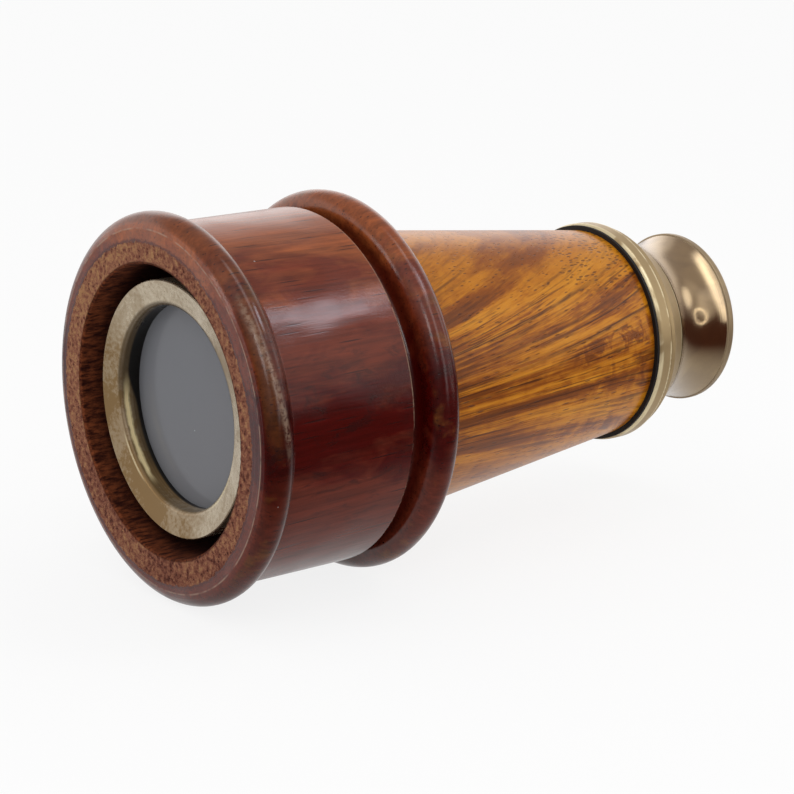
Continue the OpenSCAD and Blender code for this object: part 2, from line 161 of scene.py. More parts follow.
class NodeSheet:
    """A node tree that is filled through one method."""

    def __init__(self, tree: bpy.types.NodeTree) -> None:
        """Empties the tree.

        Args:
            tree: The node tree of a material or of the world.
        """
        self.tree = tree
        tree.nodes.clear()

    def add(
        self,
        kind: str,
        settings: Mapping[str, Any] | None = None,
        inputs: Mapping[str | int, Any] | None = None,
        output: str | int = 0,
    ) -> Plug:
        """Adds a node, sets it up and joins its inputs.

        Args:
            kind: The node's type.
            settings: The node's own properties; stops are a ramp's positions and colours.
            inputs: Values or plugs for its sockets, by name or by index.
            output: Name or index of the output to return.

        Returns:
            The chosen output; a node that ends the tree has none.
        """
        node = self.tree.nodes.new(kind)
        for key, value in (settings or {}).items():
            if key == "stops":
                self._set_stops(node.color_ramp, value)
            else:
                setattr(node, key, value)
        for key, value in (inputs or {}).items():
            if isinstance(value, Plug):
                self.tree.links.new(value.socket, node.inputs[key])
            elif isinstance(value, tuple) and node.inputs[key].type == "RGBA":
                node.inputs[key].default_value = (*value, 1.0)
            else:
                node.inputs[key].default_value = value
        return Plug(self, node.outputs[output] if node.outputs else None)

    @staticmethod
    def _set_stops(ramp: bpy.types.ColorRamp, stops: Sequence[tuple[float, Colour]]) -> None:
        """Gives a ramp its stops.

        Args:
            ramp: The ramp of a Color Ramp node.
            stops: Positions from 0 to 1 with their colours.
        """
        while len(ramp.elements) < len(stops):
            ramp.elements.new(1.0)
        for element, (position, colour) in zip(ramp.elements, stops):
            element.position = position
            element.color = (*colour, 1.0)

    def mix(self, factor: Number, first: Any, second: Any, blend: str = "MIX") -> Plug:
        """Mixes two colours.

        Args:
            factor: Share of the second colour.
            first: The colour at 0.
            second: The colour at 1.
            blend: Name of the blend mode.

        Returns:
            The mixed colour.
        """
        share, start, end, result = COLOUR_MIX
        return self.add(
            "ShaderNodeMix",
            {"data_type": "RGBA", "blend_type": blend},
            {share: factor, start: first, end: second},
            result,
        )

    def vector(self, x: Number, y: Number, z: Number) -> Plug:
        """Joins three values into a vector."""
        return self.add("ShaderNodeCombineXYZ", {}, {0: x, 1: y, 2: z})

    def part(self, vector: Plug, axis: str) -> Plug:
        """One coordinate of a vector: X, Y or Z."""
        return self.add("ShaderNodeSeparateXYZ", {}, {0: vector}, axis)

    def dot(self, vector: Plug, direction: Sequence[float]) -> Plug:
        """Length of a vector along a direction."""
        inputs = {0: vector, 1: tuple(direction)}
        return self.add("ShaderNodeVectorMath", {"operation": "DOT_PRODUCT"}, inputs, "Value")

    def noise(
        self,
        vector: Plug,
        scale: float,
        detail: float = 2.0,
        roughness: float = 0.5,
        distortion: float = 0.0,
    ) -> Plug:
        """Adds a noise texture.

        Args:
            vector: Where it is read.
            scale: Its scale.
            detail: Number of octaves.
            roughness: How much the finer octaves count.
            distortion: How much it is pushed about.

        Returns:
            Its value, from 0 to 1.
        """
        return self.add(
            "ShaderNodeTexNoise",
            {},
            {
                "Vector": vector,
                "Scale": scale,
                "Detail": detail,
                "Roughness": roughness,
                "Distortion": distortion,
            },
        )

    def cells(self, vector: Plug, scale: float) -> Plug:
        """Distance to the nearest of many scattered points."""
        inputs = {"Vector": vector, "Scale": scale}
        return self.add("ShaderNodeTexVoronoi", {}, inputs, "Distance")

    def ramp(self, value: Number, stops: Sequence[tuple[float, Colour]]) -> Plug:
        """Colours a value by a ramp."""
        return self.add("ShaderNodeValToRGB", {"stops": stops}, {"Fac": value}, "Color")

    def bump(self, height: Plug, depth: float) -> Plug:
        """Turns a height, about 0 to 1, into a normal; depth is the height in metres at 1."""
        inputs = {"Height": height, "Distance": depth, "Strength": 1.0}
        return self.add("ShaderNodeBump", {}, inputs, "Normal")

    def surface(self, **sockets: Any) -> Plug:
        """Adds the principled shader.

        Args:
            **sockets: Values or plugs; an underscore in a name stands for a space.

        Returns:
            The shader.
        """
        named = {key.replace("_", " "): value for key, value in sockets.items()}
        return self.add("ShaderNodeBsdfPrincipled", {}, named, "BSDF")

    def lamp(self, colour: Colour | Plug, strength: float = 1.0) -> Plug:
        """Adds a shader that gives off light."""
        return self.add("ShaderNodeEmission", {}, {"Color": colour, "Strength": strength})

    def blend(self, share: Number, first: Plug, second: Plug) -> Plug:
        """Mixes two shaders by the share of the second."""
        return self.add("ShaderNodeMixShader", {}, {0: share, 1: first, 2: second})

    def finish(self, shader: Plug) -> None:
        """Joins a shader to the material's output."""
        self.add("ShaderNodeOutputMaterial", {}, {"Surface": shader})


class Turned:
    """Places on a turned piece, in millimetres from the hood's front face and from the axis."""

    def __init__(self, sheet: NodeSheet, size: "Instrument") -> None:
        """Reads the piece's own coordinates.

        Args:
            sheet: The material's node tree.
            size: Sizes of the instrument.
        """
        self.sheet = sheet
        self.size = size
        own = sheet.add("ShaderNodeTexCoord", {}, {}, "Object")
        shifted = sheet.add(
            "ShaderNodeVectorMath",
            {"operation": "SUBTRACT"},
            {0: own, 1: (size.face_x, 0.0, size.axis_z)},
        )
        self.place = sheet.add(
            "ShaderNodeVectorMath", {"operation": "SCALE"}, {0: shifted, "Scale": 1.0 / MM}
        )

    @cached_property
    def along(self) -> Plug:
        """Distance behind the hood's face."""
        return self.sheet.part(self.place, "X")

    @cached_property
    def side(self) -> Plug:
        """Distance to the side of the axis."""
        return self.sheet.part(self.place, "Y")

    @cached_property
    def height(self) -> Plug:
        """Height above the axis."""
        return self.sheet.part(self.place, "Z")

    @cached_property
    def radius(self) -> Plug:
        """Distance from the axis."""
        return (self.side * self.side + self.height * self.height) ** 0.5

    @cached_property
    def lathe(self) -> Plug:
        """Place along the axis and out from it, the same all the way round."""
        return self.sheet.vector(self.along, self.radius, 0.0)

    def grain(self, tilt: float, turn: float, stretch: float) -> Plug:
        """Place in the wood, squeezed along its fibres.

        Args:
            tilt: Rise of the fibres towards the eyecup, in degrees.
            turn: Swing of the fibres sideways, in degrees.
            stretch: How many times longer the figure is along the fibres than across.

        Returns:
            A vector in millimetres across the fibres.
        """
        up, round_ = math.radians(tilt), math.radians(turn)
        fibre = Vector(
            (math.cos(up) * math.cos(round_), math.cos(up) * math.sin(round_), math.sin(up))
        )
        across = Vector((0.0, 0.0, 1.0)).cross(fibre).normalized()
        over = fibre.cross(across)
        return self.sheet.vector(
            self.sheet.dot(self.place, fibre) / stretch,
            self.sheet.dot(self.place, across),
            self.sheet.dot(self.place, over),
        )


@dataclass(frozen=True)
class Instrument:
    """Sizes that the pieces share, in metres unless a name says otherwise."""

    length: float = 0.1176
    bead_radius: float = 0.033

    @property
    def face_x(self) -> float:
        """Where the hood's flat face lies along X."""
        return -self.length / 2

    @property
    def axis_z(self) -> float:
        """Height of the optical axis."""
        return self.bead_radius


def new_sheet(name: str) -> tuple[bpy.types.Material, NodeSheet]:
    """Makes an empty material.

    Args:
        name: Its name.

    Returns:
        The material and its node sheet.
    """
    material = bpy.data.materials.new(name)
    material.use_nodes = True
    return material, NodeSheet(material.node_tree)


@dataclass(frozen=True)
class Coat:
    """A finish, which is made once as a material."""

    def build(self, name: str, size: Instrument) -> bpy.types.Material:
        """Makes the material.

        Args:
            name: Its name.
            size: Sizes of the instrument.

        Returns:
            The material.
        """
        material, sheet = new_sheet(name)
        sheet.finish(self.shade(Turned(sheet, size)))
        return material

    def shade(self, turned: Turned) -> Plug:
        """Draws the surface; each finish has its own way."""
        raise NotImplementedError


@dataclass(frozen=True)
class DarkWood(Coat):
    """Red-brown hardwood under gloss lacquer, bare on the hood's flat face and in its mouth.

    A span gives where a mask starts and where it is full.
    """

    # Ramp colours by height: the top two are painted light, the third painted shade.
    top: Colour = (0.25, 0.062, 0.016)
    upper: Colour = (0.125, 0.020, 0.007)
    dark_line_and_shade: Colour = (0.050, 0.0012, 0.0007)
    lower: Colour = (0.105, 0.016, 0.007)
    amber: Colour = (0.165, 0.055, 0.009)
    # Pale colour of rubbed lacquer, also used for painted highlights on edges and bead.
    rubbed_and_highlight_pale: Colour = (0.38, 0.26, 0.18)
    dust: Colour = (0.55, 0.52, 0.50)
    smudge: Colour = (0.016, 0.004, 0.004)
    pit: Colour = (0.080, 0.020, 0.013)
    fibre: Colour = (0.195, 0.066, 0.040)
    tan: Colour = (0.300, 0.125, 0.070)
    gold: Colour = (0.400, 0.205, 0.092)
    mouth_light: Colour = (0.205, 0.052, 0.017)
    mouth_dark_and_shade: Colour = (0.021, 0.0022, 0.0010)
    tilt_deg: float = 1.5
    turn_deg: float = -2.0
    face_mm: Span = (0.5, 0.1)
    face_edge_radius_mm: float = 30.45
    bare_radius_mm: float = 28.7
    bare_offset_mm: Span = (0.7, -0.6)
    ragged_mm: float = 1.3
    mouth_radius_mm: Span = (25.15, 24.8)
    mouth_depth_mm: Span = (0.6, 7.0)
    bead_radius_mm: Span = (31.1, 31.8)
    front_bead_mm: Span = (3.4, 1.6)
    rear_bead_mm: Span = (20.0, 30.0)
    body_end_mm: float = 29.95
    groove_mm: Span = (29.8, 30.8)
    groove_radius_mm: Span = (30.4, 28.6)
    highlight_side: Direction = (0.0, -0.92, 0.39)
    highlight_side_mm: Span = (29.0, 31.6)
    crest_mm: float = 3.9
    crest_lean: float = 0.12
    crest_radius_mm: Span = (31.8, 32.4)
    lit_side: Direction = (0.0, 0.72, 0.69)
    relief: float = 0.00006
    bare_relief: float = 0.0007

    def shade(self, turned: Turned) -> Plug:
        """Draws the surface.

        Args:
            turned: Places on the piece.

        Returns:
            The shader.
        """
        sheet = turned.sheet
        wood, relief = self._figure(turned)
        raw, spongy = self._bare_face(turned)
        hollow, scraped = self._mouth(turned)
        on_face = turned.along.rise(*self.face_mm)
        bare, rim = self._bare_mask(turned, on_face)
        inside = turned.radius.rise(*self.mouth_radius_mm)

        specks = sheet.cells(turned.place, 0.13).rise(0.026, 0.016)
        wood = sheet.mix(specks * 0.5, wood, self.dust)
        wood = sheet.mix(rim * 0.8, wood, self.dark_line_and_shade)
        # Pale edges: rubbed lacquer with painted highlight lines, and a painted highlight streak.
        wood = sheet.mix(self._rubbed_and_highlight_edges(turned) * 0.45, wood, self.rubbed_and_highlight_pale)
        rings = sheet.noise(turned.lathe, 2.6, roughness=0.7) * on_face
        crazed = sheet.noise(turned.place, 1.9, detail=3.0, roughness=0.65)
        aged = sheet.noise(turned.place, 0.11, detail=1.0).rise(0.44, 0.60)
        swell = sheet.noise(turned.grain(0.0, 0.0, 1.4), 0.075, detail=1.0)
        height = relief + rings * 1.2 + crazed * aged * 0.35 + swell * 12.0
        lacquered = sheet.surface(
            Base_Color=wood,
            Roughness=0.18 + aged * 0.05 + specks * 0.4,
            IOR=1.46,
            Normal=sheet.bump(height, self.relief),
        )
        plain = sheet.surface(
            Base_Color=sheet.mix(inside, raw, hollow),
            Roughness=0.9,
            Specular_IOR_Level=0.15,
            Normal=sheet.bump(spongy * (1.0 - inside) + scraped * inside * 0.2, self.bare_relief),
        )
        return sheet.blend(bare.most(inside), lacquered, plain)

    def _figure(self, turned: Turned) -> tuple[Plug, Plug]:
        """Draws the lacquered wood, with painted light and shade by height.

        Args:
            turned: Places on the piece.

        Returns:
            Its colour and its relief.
        """
        sheet = turned.sheet
        lay = (self.tilt_deg, self.turn_deg)
        broad = sheet.noise(turned.grain(*lay, 4.0), 0.10, distortion=0.8)
        blotch = sheet.noise(
            turned.grain(0.0, 0.0, 2.2), 0.17, detail=3.0, roughness=0.6, distortion=0.5
        )
        lines = sheet.noise(
            turned.grain(*lay, 26.0), 0.80, detail=3.0, roughness=0.6, distortion=0.3
        )
        threads = sheet.noise(turned.grain(*lay, 22.0), 2.8, roughness=0.6)
        hood_mm = 2.0 * turned.size.bead_radius / MM
        # Painted light and shade by height: a lit top and a band of painted shade in the middle.
        wood = sheet.ramp(
            turned.height / hood_mm + blotch * 0.34 + broad * 0.16 + 0.25,
            [
                (0.0, self.lower),
                (0.36, self.lower),
                (0.44, self.dark_line_and_shade),
                (0.62, self.dark_line_and_shade),
                (0.71, self.upper),
                (0.83, self.upper),
                (0.93, self.top),
            ],
        )
        beads = turned.radius.rise(*self.bead_radius_mm)
        # Amber in random patches, and as painted sheen along the front bead's highlight side.
        patch = sheet.noise(turned.place, 0.19, detail=3.0, roughness=0.55).rise(0.54, 0.68)
        streak = self._highlight_side(turned) * turned.along.rise(*self.front_bead_mm)
        wood = sheet.mix(patch.most(streak * 0.75) * beads * 0.6, wood, self.amber)
        shade = lines * 1.35 + threads * 0.65 + 0.02
        shade = shade * (1.0 - beads * (0.36 - turned.along.rise(*self.rear_bead_mm) * 0.30))
        wood = sheet.mix(1.0, wood, shade, "MULTIPLY")
        smudge_and_reflection_grey = sheet.noise(
            turned.grain(*lay, 2.6), 0.42, detail=4.0, roughness=0.62, distortion=0.7
        )
        smudge_and_reflection_grey = smudge_and_reflection_grey.rise(0.53, 0.66) * (1.0 - turned.height.size().rise(8.0, 20.0) * 0.75)
        wood = sheet.mix(smudge_and_reflection_grey * 0.50, wood, self.smudge)
        pore = sheet.cells(turned.grain(*lay, 34.0), 1.25).rise(0.22, 0.08)
        wood = sheet.mix(pore * 0.72, wood, self.smudge)
        # Painted shade in the groove between the body and the rear bead.
        groove_shade = turned.along.rise(*self.groove_mm) * turned.radius.rise(*self.groove_radius_mm)
        wood = sheet.mix(groove_shade * 0.55, wood, self.dark_line_and_shade)
        return wood, lines * 0.25 + threads * 0.15 - pore * 0.08

    def _highlight_side(self, turned: Turned) -> Plug:
        """Finds the side of the beads where the painted highlight streak and sheen lie."""
        return turned.sheet.dot(turned.place, self.highlight_side).rise(*self.highlight_side_mm)

    def _rubbed_and_highlight_edges(self, turned: Turned) -> Plug:
        """Finds the pale edges: rubbed lacquer and painted highlight lines and streaks.

        Args:
            turned: Places on the piece.

        Returns:
            1 on a pale edge.
        """
        sheet = turned.sheet
        # Face edge and body's rear edge: pale lines of rubbed lacquer and painted highlight.
        front = turned.radius.near(self.face_edge_radius_mm, 0.20, 0.05)
        front = front * turned.along.rise(1.2, 0.4)
        rear = turned.along.near(self.body_end_mm, 0.30, 0.10) * turned.radius.rise(30.1, 30.4)
        patchy = sheet.noise(turned.place, 0.35, detail=3.0, roughness=0.6).rise(0.36, 0.58)
        # Painted highlight: a whitish crazed streak on the front bead's crest.
        crackle_highlight = sheet.noise(turned.place, 1.3, detail=4.0, roughness=0.75, distortion=0.3)
        crest = (turned.along + turned.height * self.crest_lean).near(self.crest_mm, 0.95, 0.15)
        crackle_highlight = crackle_highlight.rise(0.34, 0.62) * turned.radius.rise(*self.crest_radius_mm) * crest
        crackle_highlight = crackle_highlight * self._highlight_side(turned)
        return (front.most(rear) * patchy).most(crackle_highlight)

    def _bare_mask(self, turned: Turned, on_face: Plug) -> tuple[Plug, Plug]:
        """Finds the bare ring, which isn't quite centred, with a ragged edge.

        Args:
            turned: Places on the piece.
            on_face: 1 on the flat face.

        Returns:
            1 where the wood is bare, and 1 in the dark line round it.
        """
        sheet = turned.sheet
        side = turned.side - self.bare_offset_mm[0]
        height = turned.height - self.bare_offset_mm[1]
        radius = (side * side + height * height) ** 0.5
        ragged = sheet.noise(turned.place, 0.9, detail=3.0, roughness=0.6) - 0.5
        distance = radius + ragged * self.ragged_mm - self.bare_radius_mm
        return on_face * distance.rise(0.15, -0.15), on_face * distance.rise(0.75, 0.15)

    def _bare_face(self, turned: Turned) -> tuple[Plug, Plug]:
        """Draws the coarse, unlacquered wood of the flat face.

        Args:
            turned: Places on the piece.

        Returns:
            Its colour and its relief.
        """
        sheet = turned.sheet
        sponge = sheet.noise(turned.place, 1.0, detail=4.0, roughness=0.72, distortion=0.25)
        grains = sheet.cells(turned.place, 1.15)
        fine = sheet.noise(turned.place, 4.0, roughness=0.6)
        patch = sheet.noise(turned.place, 0.09)
        # Painted light: the bare face is lighter on its upper side towards +Y.
        light = sheet.dot(turned.place, self.lit_side).rise(6.0, 27.0)
        tone = sponge * 0.80 + fine * 0.26 + patch * 0.24 + grains * 0.20 + light * 0.08 - 0.11
        raw = sheet.ramp(
            tone.rise(0.42, 0.88),
            [(0.0, self.pit), (0.34, self.fibre), (0.72, self.tan), (1.0, self.gold)],
        )
        pits = grains.rise(0.24, 0.12) * sponge.rise(0.58, 0.46)
        return sheet.mix(pits * 0.48, raw, self.pit), sponge + fine * 0.35 - pits * 0.4

    def _mouth(self, turned: Turned) -> tuple[Plug, Plug]:
        """Draws the bare wall of the mouth, with painted shade that deepens with depth.

        Args:
            turned: Places on the piece.

        Returns:
            Its colour and its relief.
        """
        sheet = turned.sheet
        scraped = sheet.noise(turned.grain(0.0, 0.0, 4.0), 1.5, detail=4.0, roughness=0.7)
        hollow = sheet.mix(scraped.rise(0.32, 0.72), self.mouth_dark_and_shade, self.mouth_light)
        # Painted shade, darker deeper into the mouth.
        deep_shade = turned.along.rise(*self.mouth_depth_mm) * 0.85
        return sheet.mix(deep_shade, hollow, self.mouth_dark_and_shade), scraped


class Streak(NamedTuple):
    """A dark line or band: its place across the layers, its half width and its strength."""

    at_mm: float
    reach_mm: float
    depth: float


class Layers:
    """Places in flat-sawn wood whose layers fan out from low to high."""

    def __init__(self, turned: Turned, wood: "HoneyWood") -> None:
        """Works out the place across the layers, and where the figure is faint.

        Args:
            turned: Places on the piece.
            wood: The wood, with the slope and the fan of its layers.
        """
        self.sheet = turned.sheet
        self.turned = turned
        height = turned.height
        steepness = height.least(wood.fan_top_mm) * wood.fan + wood.slope
        self.across = height - (turned.along - wood.pivot_mm) * steepness
        wander = self.sheet.noise(self.at(24.0, 6.0), 0.30) - 0.5
        self.wandering = self.across + wander * wood.wander_mm
        self.calm = height.rise(12.0, 18.0) * 0.70 + height.rise(-4.0, -16.0) * 0.50

    def at(self, stretch: float, depth: float) -> Plug:
        """Place in the layers, squeezed along them.

        Args:
            stretch: How many times longer the figure is along the piece than across.
            depth: How many times wider it is sideways than across.

        Returns:
            A vector in millimetres across the layers.
        """
        along, side = self.turned.along / stretch, self.turned.side / depth
        return self.sheet.vector(along, self.across, side)


@dataclass(frozen=True)
class HoneyWood(Coat):
    """Honey-coloured hardwood with dark lines and pores under satin lacquer.

    The layers rise by slope at the axis, and by fan more for each millimetre of height.
    """

    pale: Colour = (0.62, 0.248, 0.012)
    honey: Colour = (0.475, 0.162, 0.005)
    brown: Colour = (0.255, 0.066, 0.003)
    umber: Colour = (0.150, 0.038, 0.004)
    dark: Colour = (0.048, 0.013, 0.005)
    slope: float = 0.06
    fan: float = 0.012
    fan_top_mm: float = 13.0
    pivot_mm: float = 66.0
    wander_mm: float = 1.7
    mean_tone: float = 0.79
    lightness: float = 0.83
    blotch_mm: float = 1.6
    blotch_along_mm: Span = (68.0, 78.0)
    lines_end_mm: Span = (94.0, 76.0)
    lines_top_mm: Span = (20.0, 18.8)
    relief: float = 0.00005
    drawn_lines: tuple[Streak, ...] = (
        Streak(10.8, 0.34, 1.0),
        Streak(9.8, 0.20, 0.75),
        Streak(7.2, 0.46, 0.85),
        Streak(6.3, 0.20, 0.60),
        Streak(3.8, 0.32, 0.65),
        Streak(22.3, 0.24, 0.75),
        Streak(13.2, 0.20, 0.45),
        Streak(-3.6, 0.26, 0.45),
    )
    brown_bands: tuple[Streak, ...] = (
        Streak(18.0, 2.2, 0.30),
        Streak(7.4, 3.6, 0.15),
        Streak(1.8, 1.0, 0.10),
        Streak(-4.0, 1.9, 0.24),
        Streak(-10.8, 1.6, 0.22),
    )

    def shade(self, turned: Turned) -> Plug:
        """Draws the surface.

        Args:
            turned: Places on the piece.

        Returns:
            The shader.
        """
        sheet = turned.sheet
        layers = Layers(turned, self)
        wood, lines, threads = self._figure(layers)
        pore = self._pores(layers)
        return sheet.surface(
            Base_Color=sheet.mix(pore * 0.80, wood, self.dark),
            Roughness=0.25 + threads * 0.08,
            IOR=1.40,
            Normal=sheet.bump(lines * 0.25 + threads * 0.2 - pore * 0.5, self.relief),
        )

    def _figure(self, layers: Layers) -> tuple[Plug, Plug, Plug]:
        """Draws the bands and lines of the wood.

        Args:
            layers: Places in the wood's layers.

        Returns:
            The colour, the lines and the finer threads.
        """
        sheet = layers.sheet
        broad = sheet.noise(layers.at(8.0, 2.0), 0.15, distortion=0.5)
        bands = sheet.noise(layers.at(20.0, 3.0), 0.38, distortion=0.15)
        lines = sheet.noise(layers.at(75.0, 4.0), 1.35, roughness=0.62, distortion=0.08)
        threads = sheet.noise(layers.at(45.0, 3.0), 4.2, detail=1.0, roughness=0.6)
        tone = broad * 0.40 + bands * 0.54 + lines * 0.38 + threads * 0.26 - self.mean_tone
        tone = self._uneven(layers, tone, broad)
        wood = sheet.ramp(
            (tone + self.lightness).rise(0.50, 1.06),
            [(0.0, self.umber), (0.30, self.brown), (0.60, self.honey), (1.0, self.pale)],
        )
        drawn = self._dark_lines(layers, (broad + bands).rise(1.20, 0.88))
        return sheet.mix(drawn * 0.80, wood, self.dark), lines, threads

    def _uneven(self, layers: Layers, tone: Plug, broad: Plug) -> Plug:
        """Adds the brown bands, the rear blotch, slow changes of tone and a painted sheen.

        Args:
            layers: Places in the wood's layers.
            tone: The tone of an even board, about 0 on average.
            broad: The broadest figure.

        Returns:
            The tone.
        """
        turned, across, calm = layers.turned, layers.wandering, layers.calm
        along, height = turned.along, turned.height
        curl = layers.sheet.noise(turned.place, 0.26, detail=3.0, roughness=0.6, distortion=0.9)
        low_rear = along.rise(58.0, 84.0) * height.rise(8.0, -4.0)
        for band in self.brown_bands:
            patchy = (broad * 1.2).least(0.9) * band.depth
            hump = across.near(band.at_mm, band.reach_mm, band.reach_mm * 0.2)
            tone = tone - hump * patchy * 1.5
        blotch = across.near(self.blotch_mm, 3.0, 0.8) * along.rise(*self.blotch_along_mm)
        tone = tone - blotch * curl.rise(0.42, 0.62) * 0.22
        tone = tone * (1.0 - calm) + (curl - 0.5) * (low_rear * 0.38 + 0.14)
        # Darker below mid-height; lighter at the rear as painted sheen; darker streaks on top.
        below, rear = height.rise(11.0, -4.0), along.rise(60.0, 84.0)
        streaky_top = height.rise(14.0, 20.0) * broad.rise(0.44, 0.60)
        return tone - below * 0.05 + rear * 0.09 - streaky_top * 0.12

    def _dark_lines(self, layers: Layers, heavy: Plug) -> Plug:
        """Draws the dark lines between the layers.

        Args:
            layers: Places in the wood's layers.
            heavy: 1 where the rings are darkest.

        Returns:
            1 in a line.
        """
        sheet, calm = layers.sheet, layers.calm
        rings = sheet.add(
            "ShaderNodeTexWave",
            {"wave_type": "BANDS", "bands_direction": "Y", "wave_profile": "SIN"},
            {
                "Vector": layers.at(30.0, 6.0),
                "Scale": 0.19,
                "Distortion": 9.0,
                "Detail": 3.0,
                "Detail Scale": 1.3,
                "Detail Roughness": 0.6,
            },
            "Fac",
        )
        broken = sheet.noise(layers.at(9.0, 2.0), 0.5, detail=3.0, roughness=0.65)
        broken = broken.rise(0.38, 0.56)
        drawn = rings.rise(0.84, 0.985) * broken * (heavy * 0.6 + 0.4) * (1.0 - calm)
        veins = sheet.noise(layers.at(60.0, 4.0), 2.4, detail=1.0).rise(0.43, 0.35)
        drawn = drawn.most(veins * (broken * 0.7 + 0.3) * (0.68 - calm * 0.6))
        fading = layers.turned.along.rise(*self.lines_end_mm) * 0.8 + 0.2
        below_top = layers.turned.height.rise(*self.lines_top_mm)
        for streak in self.drawn_lines:
            line = layers.wandering.near(streak.at_mm, streak.reach_mm, streak.reach_mm * 0.1)
            line = line * (broken * 0.50 + 0.50) * streak.depth
            drawn = drawn.most(line * fading * below_top)
        return drawn

    def _pores(self, layers: Layers) -> Plug:
        """Scatters short dark pores, densest at the upper rear.

        Args:
            layers: Places in the wood's layers.

        Returns:
            1 in a pore.
        """
        sheet, turned = layers.sheet, layers.turned
        high_rear = turned.along.rise(70.0, 86.0) * turned.height.rise(8.0, 14.0)
        dense = sheet.noise(layers.at(3.0, 2.0), 0.22)
        dashes = sheet.cells(layers.at(5.6, 1.0), 1.60)
        long_ones = sheet.cells(layers.at(11.0, 1.0), 1.5)
        short = dashes.rise(0.38, 0.20) * (dense * 0.6 + high_rear * 0.55).rise(0.38, 0.60)
        return (short * 0.85).most(long_ones.rise(0.25, 0.12) * dense.rise(0.32, 0.46) * 0.8)


@dataclass(frozen=True)
class Bore:
    """A ring's bore, with painted shade towards the glass and painted highlights low down.

    Places along the axis count from the hood's face, and heights from the axis.
    """

    radius_mm: float = 17.5
    lip_mm: Span = (0.8, 0.2)
    low_mm: Span = (3.5, -4.0)
    bottom_mm: Span = (-15.4, -13.0)
    highlight_streak_mm: float = 4.8
    highlight_wander_mm: float = 0.7
    second_highlight_radius_mm: float = 17.95
    second_highlight_height_mm: Span = (-7.0, -9.5)
    brown_shade_mm: Span = (5.2, 6.3)
    brown_shade_height_mm: Span = (-15.5, -11.0)
    black_shade_mm: Span = (4.8, 5.4)
    black_shade_shift_mm: float = 1.55
    # The painted highlight's colour and the painted shade's black.
    bright: Colour = (1.0, 0.82, 0.45)
    unlit: Colour = (0.006, 0.005, 0.004)

    def paint_light_and_shade(self, turned: Turned, colour: Plug) -> tuple[Plug, Plug]:
        """Paints shade in the bore towards the glass, and highlights on its lower side.

        Args:
            turned: Places on the piece.
            colour: The colour outside the bore.

        Returns:
            The colour, and 1 in the bore.
        """
        sheet = turned.sheet
        bore = turned.radius.rise(self.radius_mm + 0.1, self.radius_mm)
        low = turned.height.rise(*self.low_mm)
        turns = sheet.noise(turned.lathe, 2.6)
        lip = turned.radius.rise(*(self.radius_mm + reach for reach in self.lip_mm))
        # Painted shade on the upper side of the lip.
        colour = sheet.mix(lip * (1.0 - low) * 0.85, colour, BLACKENED_AND_SHADE)
        colour = sheet.mix(bore * turns.rise(0.60, 0.44) * 0.5, colour, BLACKENED_AND_SHADE)
        # Painted shade: darker deeper in the bore, except at its very bottom.
        brown = bore * turned.along.rise(*self.brown_shade_mm)
        brown = brown * turned.height.rise(*self.brown_shade_height_mm)
        colour = sheet.mix(brown * 0.85, colour, BLACKENED_AND_SHADE)
        # Painted highlight: a bright streak along the bore's lower side.
        wander = (sheet.noise(turned.place, 0.5) - 0.5) * self.highlight_wander_mm
        above_bottom = turned.height.rise(*self.bottom_mm)
        streak = (turned.along + wander).near(self.highlight_streak_mm, 0.72, 0.20)
        streak = streak * low * lip * above_bottom * (turns.rise(0.30, 0.50) * 0.5 + 0.5)
        colour = sheet.mix(streak, colour, self.bright)
        # A second painted highlight, low on the ring's inner edge.
        second = turned.radius.near(self.second_highlight_radius_mm, 0.26, 0.08)
        second = second * turned.height.rise(*self.second_highlight_height_mm)
        colour = sheet.mix(second * above_bottom * 0.5, colour, RUBBED_AND_HIGHLIGHT)
        # Painted shade: black deep in the bore, nearer the face on its upper side.
        black_shade = bore * (turned.along - low * self.black_shade_shift_mm).rise(*self.black_shade_mm)
        return sheet.mix(black_shade, colour, self.unlit), bore


